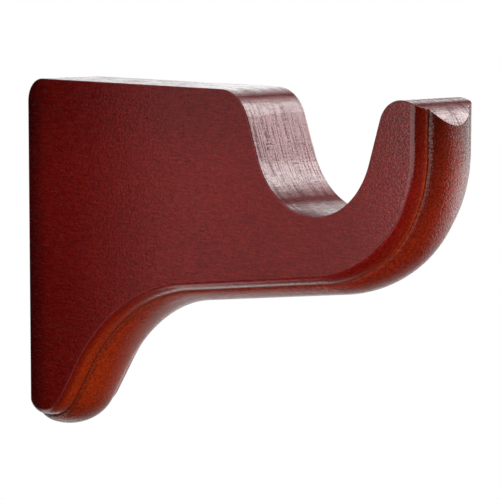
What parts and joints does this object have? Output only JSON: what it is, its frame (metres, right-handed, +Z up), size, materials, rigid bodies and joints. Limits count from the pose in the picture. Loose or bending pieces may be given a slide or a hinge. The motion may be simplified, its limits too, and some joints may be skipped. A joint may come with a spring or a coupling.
{
  "type": "curtain pole return bracket",
  "caption": "One-piece wooden wall bracket with an open-topped saddle that carries a curtain pole out from the wall, with a stepped moulding round its ogee underside.",
  "frame": {"origin": "mouth of the hanger hole, on the bracket's flat back and in the middle of its thickness", "axes": "+X runs out from the wall along the hanger hole's axis, +Z is up the wall, and +Y is across the board, along the pole"},
  "size_m": [0.1402, 0.019, 0.091],
  "materials": {
    "stained_wood": "dark red mahogany stain under a satin lacquer"
  },
  "bodies": {
    "root": {"bracket": "stained_wood"}
  },
  "joints": []
}
